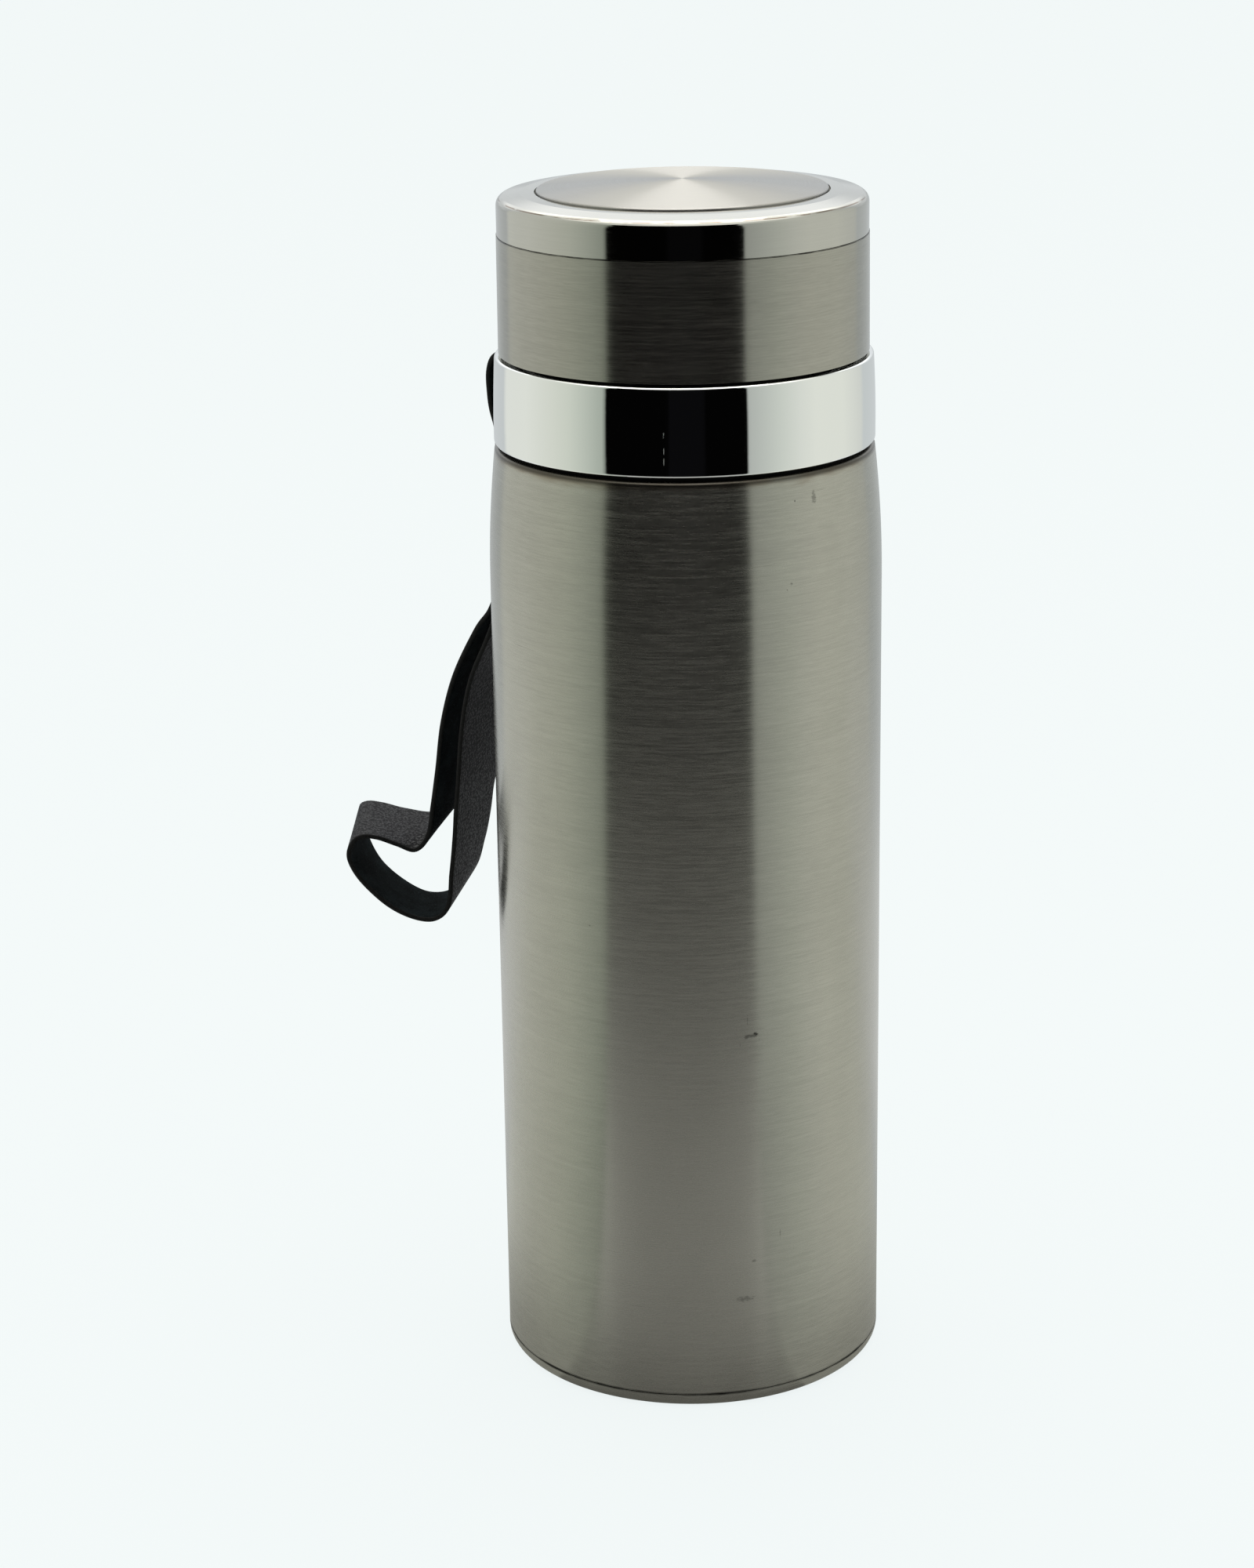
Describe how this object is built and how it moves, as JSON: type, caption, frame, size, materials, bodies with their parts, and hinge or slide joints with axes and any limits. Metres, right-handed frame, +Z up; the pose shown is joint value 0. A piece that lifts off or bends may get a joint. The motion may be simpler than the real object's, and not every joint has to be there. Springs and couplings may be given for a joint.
{
  "type": "vacuum flask",
  "caption": "Slim brushed-steel vacuum flask with a screw lid, a mirror-chrome collar and a black leather wrist strap hung from a window in the collar.",
  "frame": {"origin": "middle of the flat base, on the surface the flask stands on", "axes": "+Z up along the flask's axis, -Y towards the viewer, the strap hangs at the back left, between -X and +Y"},
  "size_m": [0.1001, 0.0721, 0.2183],
  "materials": {
    "brushed_body": "horizontally brushed stainless steel",
    "brushed_lid": "horizontally brushed stainless steel",
    "plain_steel": "plain pressed stainless steel",
    "inner_steel": "electropolished stainless steel",
    "solder": "dull solder",
    "getter_alloy": "sintered grey metal",
    "copper_foil": "bright copper foil",
    "collar_chrome": "mirror chrome",
    "satin_cap": "fine satin metal",
    "spun_disc": "circular spun stainless steel",
    "neck_plastic": "natural polypropylene",
    "lid_plastic": "natural polypropylene",
    "black_rubber": "matt black rubber",
    "silicone": "translucent silicone",
    "foam_pad": "grey foam tape",
    "white_foam": "rigid expanded foam",
    "strap_leather": "black pebbled leather",
    "rivet_nickel": "nickel plated steel"
  },
  "bodies": {
    "flask": {"base_cover": "brushed_body", "outer_bottom": "plain_steel", "seal_bead": "solder", "getter": "getter_alloy", "outer_shell": "brushed_body", "heat_shield": "copper_foil", "inner_flask": "inner_steel", "inner_bottom": "inner_steel", "neck_ring": "neck_plastic", "collar_gasket": "black_rubber", "collar": "collar_chrome"},
    "strap": {"strap": "strap_leather", "strap_rivet": "rivet_nickel", "rivet_washer": "rivet_nickel"},
    "lid_core": {"lid_foam": "white_foam"},
    "lid": {"lid_sleeve": "brushed_lid", "lid_cap": "satin_cap", "lid_disc": "spun_disc", "disc_pad": "foam_pad", "lid_liner": "lid_plastic", "lid_plug": "lid_plastic", "plug_foam": "white_foam", "lid_seal": "silicone"}
  },
  "joints": [
    {"name": "lid_rise", "type": "slide", "parent": "flask", "child": "lid_core", "axis": [0, 0, 1], "range_m": [0, 0.0301]},
    {"name": "lid_turn", "type": "hinge", "parent": "lid_core", "child": "lid", "pos_m": [0, 0, 0.2], "axis": [0, 0, 1], "range_deg": [0, 1800]},
    {"name": "strap_swing", "type": "hinge", "parent": "flask", "child": "strap", "pos_m": [-0.02736, 0.01916, 0.181], "axis": [0.5736, 0.8192, 0], "range_deg": [0, 100]}
  ],
  "couplings": [
    {"joint": "lid_rise", "follows": "lid_turn", "m_per_rad": 0.00095493}
  ]
}
